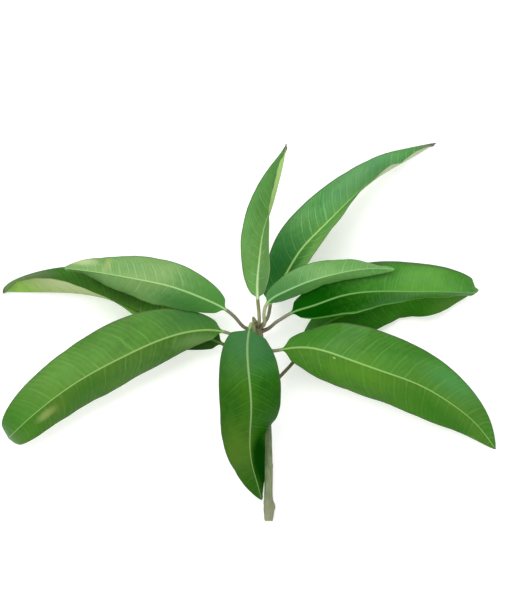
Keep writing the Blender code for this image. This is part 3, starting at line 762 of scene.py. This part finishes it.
def halfWidths(leaf, shares):  # a lance shape, drawn out at the tip
    widest = leaf["widest"]
    rising = np.sin(0.5 * math.pi * np.clip(shares / widest, 0.0, 1.0)) ** leaf["basePower"]
    falling = np.cos(0.5 * math.pi * np.clip((shares - widest) / (1.0 - widest), 0.0, 1.0))
    falling = np.maximum(falling, 0.0) ** leaf["tipPower"]
    return np.maximum(leaf["halfWidth"] * np.where(shares < widest, rising, falling), blade["smallest"])


def veinCount(leaf, side, along, widths, places):  # whole numbers fall on the side veins
    lead = 1.0 / math.tan(math.radians(leaf["veinAngle"]))
    start = along[:, None] - lead * widths[:, None] * places - blade["veinBend"] * widths[:, None] * places**3
    count = start / leaf["veinSpacing"]
    shift = 0.0 if side > 0 else blade["veinShift"]
    return count + shift + 0.12 * np.sin(1.7 * count + side) + 0.06 * np.sin(3.9 * count + 2.0 * side)


def halfSection(leaf, name, shares, widths, counts, places):
    rows = np.array(leaf[name], float)
    side = 1.0 if name == "right" else -1.0
    opened = smooth(widths / blade["flattenedBelow"])[:, None]
    inner = np.radians(np.interp(shares, rows[:, 0], rows[:, 1]))[:, None] * opened
    outer = np.radians(np.interp(shares, rows[:, 0], rows[:, 2]))[:, None] * opened
    middles = 0.5 * (places[1:] + places[:-1])
    slopes = inner + (outer - inner) * middles
    steps = np.diff(places) * widths[:, None]
    across = np.pad(np.cumsum(steps * np.cos(slopes), axis=1), ((0, 0), (1, 0)))
    up = np.pad(np.cumsum(steps * np.sin(slopes), axis=1), ((0, 0), (1, 0)))
    slopes = inner + (outer - inner) * places
    normals = np.stack([-np.sin(slopes) * side, np.cos(slopes)], axis=-1)
    outwards = np.stack([np.cos(slopes) * side, np.sin(slopes)], axis=-1)
    full = np.minimum(1.0, widths / leaf["halfWidth"])
    shift = 0.0 if side > 0 else math.radians(blade["leftShift"])
    wave = blade["wave"] * np.sin(2.0 * math.pi * blade["waves"] * shares + shift)
    turn = 2.0 * math.pi * blade["ripples"] * shares + 2.3 * shift
    wave += blade["ripple"] * np.sin(turn + 1.7 * np.sin(9.0 * shares))
    lift = (wave * full)[:, None] * places**2
    swell = 0.5 - 0.5 * np.cos(2.0 * math.pi * counts)
    lift += blade["quilt"] * full[:, None] * swell * np.sin(math.pi * places) ** 0.8
    return np.stack([side * across, up], axis=-1) + normals * lift[..., None], normals, outwards


def bladeRings(leaf, shares, along, widths):
    places = np.linspace(0.0, 1.0, blade["places"] + 1) ** blade["crowding"]
    away = places * widths[:, None]
    half = {}
    for name, side in (("left", -1), ("right", 1)):
        counts = veinCount(leaf, side, along, widths, places)
        half[name] = halfSection(leaf, name, shares, widths, counts, places)
    meeting = unit(half["left"][1][:, :1] + half["right"][1][:, :1] + 1e-9)
    narrow = np.minimum(1.0, widths / 4.0)[:, None]
    rise = blade["ribRise"] * np.exp(-(away / blade["ribWidth"]) ** 2) * narrow
    keel = blade["keelAtBase"] + (blade["keelAtTip"] - blade["keelAtBase"]) * np.clip(shares, 0, 1)
    keel = keel[:, None] * np.exp(-(away / blade["keelWidth"]) ** 2) * narrow
    thick = 0.5 * blade["thickness"] * (1.0 - blade["thinEdge"] * places**4)
    own = smooth(away / blade["ribBlend"])[..., None]
    tops, bottoms, rims = {}, {}, {}
    for name, (middle, normals, outwards) in half.items():
        normals = unit(normals * own + meeting * (1.0 - own))
        tops[name] = middle + normals * (thick + rise)[..., None]
        bottoms[name] = middle - normals * (thick + keel)[..., None]
        rims[name] = middle[:, -1:] + outwards[:, -1:] * thick[-1]
    ring = np.concatenate([
        rims["left"], tops["left"][:, ::-1], tops["right"][:, 1:],
        rims["right"], bottoms["right"][:, ::-1], bottoms["left"][:, 1:], rims["left"],
    ], axis=1)
    signed = np.r_[-1.0, -places[::-1], places[1:], 1.0, places[::-1], -places[1:], -1.0]
    count = len(places)
    face = np.r_[0.0, np.ones(2 * count - 1), 0.0, -np.ones(2 * count - 1), 0.0]
    return ring, signed, face


def stalkRing(radii, columns):
    angles = math.pi * (1.0 - 2.0 * np.arange(columns) / (columns - 1))
    return radii[:, None, None] * np.stack([np.cos(angles), np.sin(angles)], axis=-1)


def leafPoints(leaf):
    foot, lead, sunk = stalkStart(leaf)
    pointAt, knots = splineThrough([tuple(foot), tuple(lead), *leaf["stalk"], *leaf["midrib"]])
    base = knots[2 + len(leaf["stalk"])]
    whole = knots[-1]
    stalkShares = np.linspace(0.0, 1.0, round(base / blade["spacing"]), endpoint=False)
    even = np.linspace(0.0, 1.0, round((whole - base) / blade["spacing"]))
    bladeShares = even - blade["endCrowding"] * np.sin(2.0 * math.pi * even)
    distances = np.r_[base * stalkShares, base + (whole - base) * bladeShares]
    shares = np.r_[stalkShares - 1.0, bladeShares]
    settle = np.r_[blade["stalkPart"] * stalkShares, blade["stalkPart"] + (1 - blade["stalkPart"]) * even]
    widths = halfWidths(leaf, shares)
    ring, signed, face = bladeRings(leaf, shares, distances - base, widths)
    swell = (stalk["foot"] - stalk["radius"]) * np.exp(-distances / stalk["taper"])
    flat = smooth(shares / blade["stalkToBlade"])[:, None, None]
    ring = stalkRing(stalk["radius"] + swell, len(signed)) * (1.0 - flat) + ring * flat
    place, _, across, up = alongLine(pointAt, distances, whole)
    points = place[:, None] + across[:, None] * ring[..., :1] + up[:, None] * ring[..., 1:]
    if leaf["rests"]:
        for _ in range(blade["settling"]):
            points[..., 2] -= points[..., 2].min() * (settle**2)[:, None]
    points[..., 2] = np.maximum(points[..., 2], blade["lowest"])
    inBark = points[:1] - sunk
    first = np.broadcast_to(foot - sunk, inBark.shape)
    last = np.broadcast_to(points[-1].mean(axis=0), inBark.shape)
    points = np.clip(np.concatenate([first, inBark, points, last]), cadLow / mm, cadHigh / mm)
    shares, along, widths = (np.r_[v[:1], v[:1], v, v[-1:]] for v in (shares, distances - base, widths))
    return points, shares, along, widths, signed, face


def leafLayers(leaf, shares, along, widths, signed, face):
    def wide(values):
        return np.broadcast_to(values, (len(shares), len(signed)))

    bladePlace = np.stack([wide(along[:, None] * 0.1), widths[:, None] * signed * 0.1], axis=-1)
    counts = [veinCount(leaf, side, along, widths, np.abs(signed)) for side in (-1, 1)]
    veinPlace = np.stack([np.stack([count, wide(np.abs(signed))], axis=-1) for count in counts])
    leafShare = np.stack([wide(shares[:, None]), wide(face)], axis=-1)
    return {"bladePlace": bladePlace, "veinPlace": veinPlace, "leafShare": leafShare}


def blotchMask(tree, at, size, soft):
    names = {"Along": at[0], "Across": at[1], "Soft": soft, "Long": size[0], "Wide": size[1]}
    return useGroup(tree, blotchGroup, names)["Mask"]


def addBlotchesShadeAndSheen(tree, colour, blotchesShadeAndSheen):
    for at, size, soft, share, tone in blotchesShadeAndSheen:
        mask = times(tree, blotchMask(tree, at, size, soft), share)
        colour = mixed(tree, mask, colour, screen(*tone))
    return colour


# How much of each effect shows on a leaf
skin = {
    "cloud": 0.72, "warmth": 0.42, "warmByRib": 0.34, "edge": 0.30, "grain": 0.18, "net": 0.10,
    "close": 0.24, "main": 0.55, "midrib": 0.82, "rim": 0.7, "tip": 0.85,
    "tipColour": (84, 76, 62), "rimColour": (72, 86, 58),
    "rough": (0.44, 0.56), "underRough": 0.22, "stalkRough": 0.15, "bump": 0.5, "bumpDepth": 0.0002,
    "seam": 0.06,  # half the width over which the two halves' tones meet, in centimetres
    "underCloud": 0.35, "stalkGreen": 0.6, "shift": 7.0,
}


def leafMaterial(name, leaf, number):
    leaf = usual | leaf
    material, tree, shader = newMaterial(name + "Skin")
    keys = ("green", "low", "deep", "light", "warm", "vein", "rib", "under", "stalkGreen")
    tone = {key: screen(*leaf[key]) for key in keys}
    widths = {"Rib": leaf["ribWidth"], "RimFrom": leaf["rimFrom"], "Line": leaf["veinWidth"]}
    veins = useGroup(tree, veinGroup, widths)
    mottle = useGroup(tree, mottleGroup, {"Shift": skin["shift"] * number})
    _, share, face = uvParts(tree, "leafShare")
    _, _, across = uvParts(tree, "bladePlace")
    _, _, edge = uvParts(tree, "veinPlace")
    beneath = fade(tree, face, -0.2, -0.6)

    def over(amount, colour, key, mask):
        return mixed(tree, times(tree, mask, skin[amount]), colour, tone[key])

    # the half that lowHalf names, turned away from the key light, takes the low tone: painted light and shade
    side = skin["seam"] if leaf["lowHalf"] == "right" else -skin["seam"]
    lowSide = fade(tree, across, -side, side)
    top = mixed(tree, lowSide, tone["green"], tone["low"])
    top = over("cloud", top, "deep", maths(tree, "SUBTRACT", 1.0, mottle["Cloud"]))
    top = over("warmth", top, "warm", mottle["Warmth"])
    halfWay = maths(tree, "ABSOLUTE", maths(tree, "SUBTRACT", share, 0.5))
    byRib = times(tree, fade(tree, edge, 0.5, 0.02), fade(tree, halfWay, 0.45, 0.1))
    top = over("warmByRib", top, "warm", byRib)
    top = over("edge", top, "deep", fade(tree, edge, 0.5, 1.0))
    top = over("grain", top, "light", mottle["Grain"])
    top = over("net", top, "light", veins["Net"])
    top = over("close", top, "light", veins["Close"])
    top = over("main", top, "vein", veins["Main"])
    top = addBlotchesShadeAndSheen(tree, top, leaf["blotchesShadeAndSheen"])
    top = over("midrib", top, "rib", veins["Midrib"])
    under = mixed(tree, times(tree, mottle["Cloud"], skin["underCloud"]), tone["under"], tone["light"])
    under = addBlotchesShadeAndSheen(tree, under, leaf["underBlotches"])
    under = over("main", under, "rib", veins["Main"])
    under = over("midrib", under, "rib", veins["Midrib"])
    colour = mixed(tree, beneath, top, under)
    rimTone = mixed(tree, lowSide, screen(*skin["rimColour"]), screen(*leaf["lowRim"]))
    colour = mixed(tree, times(tree, veins["Rim"], skin["rim"]), colour, rimTone)
    atTip = fade(tree, share, leaf["tipFrom"], 0.5 + 0.5 * leaf["tipFrom"], 0.0, skin["tip"])
    colour = mixed(tree, atTip, colour, screen(*skin["tipColour"]))
    bark = useGroup(tree, barkGroup, {"Scale": 1.0})
    brown = mixed(tree, bark["Streak"], screen(*stalk["bark"]), tone["stalkGreen"])
    brown = mixed(tree, skin["stalkGreen"], brown, tone["stalkGreen"])
    atFoot = fade(tree, share, -0.45, -1.0, 0.0, 0.75)
    brown = mixed(tree, atFoot, brown, screen(*stalk["footBark"]))
    onStalk = fade(tree, share, 0.012, -0.06)
    colour = mixed(tree, onStalk, colour, brown)
    tree.links.new(colour, shader.inputs["Base Color"])
    rough = fade(tree, mottle["Grain"], 0.0, 1.0, *skin["rough"])
    rough = maths(tree, "MULTIPLY_ADD", beneath, skin["underRough"], rough)
    rough = maths(tree, "MULTIPLY_ADD", onStalk, skin["stalkRough"], rough)
    tree.links.new(rough, shader.inputs["Roughness"])
    if "dull" in leaf:
        mask = blotchMask(tree, *leaf["dull"])
        tree.links.new(fade(tree, mask, 0.0, 0.6, leaf["gloss"], 0.0), shader.inputs["Specular IOR Level"])
    else:
        shader.inputs["Specular IOR Level"].default_value = leaf["gloss"]
    height = maths(tree, "MULTIPLY_ADD", mottle["Grain"], 0.25, veins["Height"])
    height = maths(tree, "MULTIPLY_ADD", times(tree, bark["Height"], onStalk), 0.5, height)
    addBump(tree, shader, height, skin["bump"], skin["bumpDepth"])
    return material


def camel(name):
    words = name.split("_")
    return words[0] + "".join(word.capitalize() for word in words[1:])


def addLeaf(node, leaf, number):
    points, *values = leafPoints(leaf)
    piece = wrapGrid(camel(node), points, leafLayers(leaf, *values))
    piece.data.materials.append(leafMaterial(camel(node), leaf, number))
    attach(piece, "root")
    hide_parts(node)
    print("leaf made:", piece.name, len(piece.data.polygons), "faces")


for number, (node, leaf) in enumerate(leaves.items()):
    addLeaf(node, leaf, number)


# The twig: bark with ridges, lumps and old leaf scars, and the cut end with its pith
def scarRelief(distance, angles, radii):
    relief = np.zeros((len(distance), len(angles)))
    for where, side, size, height in twig["scars"]:
        turn = (angles[None] - math.radians(side) + math.pi) % (2.0 * math.pi) - math.pi
        down = (distance[:, None] - where) / size
        beside = turn * radii[:, None] / size
        away = np.sqrt(down**2 + beside**2)
        relief += height * np.exp(-away**2) - 0.35 * height * np.exp(-((away - 0.15) / 0.35) ** 2)
    return relief


def twigPoints():
    pointAt, knots = splineThrough(twig["line"])
    whole = knots[-1]
    distances = np.linspace(0.0, whole, round(whole / twig["spacing"]))
    place, along, across, up = alongLine(pointAt, distances, whole)
    angles = np.linspace(-math.pi, math.pi, twig["around"] + 1)  # 0 is up, the seam is underneath
    radii = place[:, 3]
    wander = twig["wander"] * distances[:, None]
    ridges = sum(np.sin(k * angles[None] + p + wander * k * 0.3) for k, p in twig["ridges"])
    lumps = np.sin(0.21 * distances)[:, None] * np.sin(2 * angles)[None]
    lumps = lumps + np.sin(0.47 * distances + 1.0)[:, None] * np.cos(3 * angles + 0.5)[None]
    radius = radii[:, None] + twig["ridge"] * ridges + twig["lump"] * lumps
    radius += scarRelief(whole - distances, angles, radii)
    ring = np.stack([radius * np.sin(angles), radius * np.cos(angles)], axis=-1)
    points = place[:, None, :3] + across[:, None] * ring[..., :1] + up[:, None] * ring[..., 1:]
    ragged = sum(height * np.sin(often * angles + turn) for often, turn, height in twig["ragged"])
    points[0] += along[0] * ragged[:, None]
    middle = place[0, :3]
    caps = [middle + (points[0] - middle) * size + along[0] * depth
            for size, depth in zip(twig["cutRings"], twig["cutDepth"])]
    caps.append(np.broadcast_to(middle - along[0] * twig["cutCore"], points[0].shape))
    end = np.broadcast_to(place[-1, :3], points[0].shape)
    return np.concatenate([np.array(caps[::-1]), points, end[None]])


def twigLayers(points):
    rows, columns = points.shape[:2]
    along = np.linspace(0.0, 1.0, rows)[:, None] + np.zeros(columns)
    around = np.linspace(0.0, 1.0, columns)[None] + np.zeros((rows, 1))
    return {"barkPlace": np.stack([along, around], axis=-1)}


def barkMaterial():
    material, tree, shader = newMaterial("greyGreenBark")
    bark = useGroup(tree, barkGroup, {"Scale": 1.0})
    place = put(tree, "TexCoord").outputs["Object"]
    cloud = fade(tree, noise(tree, place, 90.0, 3.0), 0.35, 0.65)
    green = mixed(tree, cloud, screen(*barkLook["green"]), screen(*barkLook["pale"]))
    colour = mixed(tree, times(tree, bark["Streak"], 0.75), green, screen(*barkLook["streak"]))
    colour = mixed(tree, times(tree, bark["Fleck"], 0.55), colour, screen(*barkLook["fleck"]))
    height = put(tree, "SeparateXYZ", {0: place}).outputs[1]
    nearCut = fade(tree, height, -0.128, -0.146, 0.0, 0.5)
    colour = mixed(tree, nearCut, colour, screen(*barkLook["nearCut"]))
    nearBud = fade(tree, height, -0.05, 0.0)
    colour = mixed(tree, times(tree, nearBud, 0.7), colour, screen(*barkLook["nearBud"]))
    tree.links.new(colour, shader.inputs["Base Color"])
    tree.links.new(fade(tree, bark["Streak"], 0.0, 1.0, 0.62, 0.8), shader.inputs["Roughness"])
    addBump(tree, shader, bark["Height"], 0.7, 0.0003)
    return material


def cutMaterial():
    material, tree, shader = newMaterial("cutWood")
    place = put(tree, "TexCoord").outputs["Object"]
    grain = fade(tree, noise(tree, place, 2200.0, 4.0, 0.7), 0.3, 0.7)
    colour = mixed(tree, grain, screen(*barkLook["cutDark"]), screen(*barkLook["cutLight"]))
    tree.links.new(colour, shader.inputs["Base Color"])
    tree.links.new(fade(tree, grain, 0.0, 1.0, 0.75, 0.9), shader.inputs["Roughness"])
    addBump(tree, shader, grain, 0.6, 0.0002)
    return material


def addTwig():
    points = twigPoints()
    points[..., 2] = np.maximum(points[..., 2], blade["lowest"])
    isCut = np.zeros(len(points) - 1)
    isCut[:len(twig["cutRings"])] = 1
    piece = wrapGrid("twigStem", np.clip(points, cadLow / mm, cadHigh / mm), twigLayers(points), isCut)
    piece.data.materials.append(barkMaterial())
    piece.data.materials.append(cutMaterial())
    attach(piece, "root")
    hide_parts("twig")
    print("twig made:", len(piece.data.polygons), "faces")


# The end bud: small pointed scales, lapped in three whorls round a core
bud = {
    "length": 5.3, "radius": 2.0, "around": 24, "up": 20,
    "whorls": [(0.0, 0.5), (0.8, 0.42), (1.7, 0.34)],  # the scales' feet and their sizes
    "scales": 4, "scaleWidth": 1.7, "scaleLength": 3.6, "scaleThickness": 0.2,
    "dark": (88, 80, 48), "light": (140, 134, 92),
}


def budShape(share):  # the bud's radius at a share of its length
    return bud["radius"] * np.sqrt(np.clip(share * 14.0, 0.0, 1.0)) * (1.0 - share) ** 0.55


def budPoints():
    shares = np.linspace(0.0, 1.0, bud["up"])
    angles = np.linspace(-math.pi, math.pi, bud["around"] + 1)
    radii = budShape(shares)[:, None] * (1.0 + 0.04 * np.sin(5 * angles + 6.0 * shares[:, None]))
    heights = np.broadcast_to(shares[:, None] * bud["length"], radii.shape)
    return np.stack([radii * np.sin(angles), radii * np.cos(angles), heights], axis=-1)


def scalePoints(foot, size, turn):
    shares = np.linspace(0.0, 1.0, 14)
    across = np.linspace(-1.0, 1.0, 9)
    width = bud["scaleWidth"] * size * np.sin(math.pi * np.clip(0.25 + 0.75 * shares, 0, 1)) ** 0.6
    width = np.maximum(width, 0.03)[:, None]
    height = foot + bud["scaleLength"] * size * shares[:, None]
    core = budShape(np.clip(height / bud["length"], 0.02, 1.0))
    lift = 0.10 + 0.10 * shares[:, None] ** 3
    angle = turn + across * width / bud["radius"]
    skins = []
    for side in (1.0, -1.0):
        radius = core + lift - 0.25 * (across**2) * lift + side * 0.5 * bud["scaleThickness"]
        skins.append(np.stack([radius * np.sin(angle), radius * np.cos(angle),
                               np.broadcast_to(height, angle.shape)], axis=-1))
    ring = np.concatenate([skins[0], skins[1][:, ::-1], skins[0][:, :1]], axis=1)
    ends = [np.broadcast_to(ring[i].mean(axis=0), ring[:1].shape) for i in (0, -1)]
    return np.concatenate([ends[0], ring, ends[1]])


def addBud():
    pointAt, knots = splineThrough(twig["line"])
    place, along, _, _ = alongLine(pointAt, knots[-1:], knots[-1])
    turned = np.array(Vector(along[0]).to_track_quat("Z", "Y").to_matrix())
    foot = place[0, :3] + along[0] * twig["gap"]
    shapes = [budPoints()]
    for level, (height, size) in enumerate(bud["whorls"]):
        for k in range(bud["scales"]):
            turn = 2.0 * math.pi * (k + 0.5 * level) / bud["scales"]
            shapes.append(scalePoints(height, size + 0.35, turn))
    made = []
    for number, points in enumerate(shapes):
        points = foot + points @ turned.T
        made.append(wrapGrid(f"budScale{number}", points, twigLayers(points)))
    bpy.ops.object.select_all(action="DESELECT")
    for part in made:
        part.select_set(True)
    bpy.context.view_layer.objects.active = made[0]
    bpy.ops.object.join()
    piece = made[0]
    piece.name = "endBud"
    piece.data.materials.append(budMaterial())
    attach(piece, "root")
    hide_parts("terminal_bud")
    print("bud made:", len(piece.data.polygons), "faces")


def budMaterial():
    material, tree, shader = newMaterial("budBrown")
    bark = useGroup(tree, barkGroup, {"Scale": 1.4})
    colour = mixed(tree, bark["Streak"], screen(*bud["dark"]), screen(*bud["light"]))
    tree.links.new(colour, shader.inputs["Base Color"])
    tree.links.new(fade(tree, bark["Streak"], 0.0, 1.0, 0.55, 0.75), shader.inputs["Roughness"])
    addBump(tree, shader, bark["Height"], 0.5, 0.0002)
    return material


addTwig()
addBud()
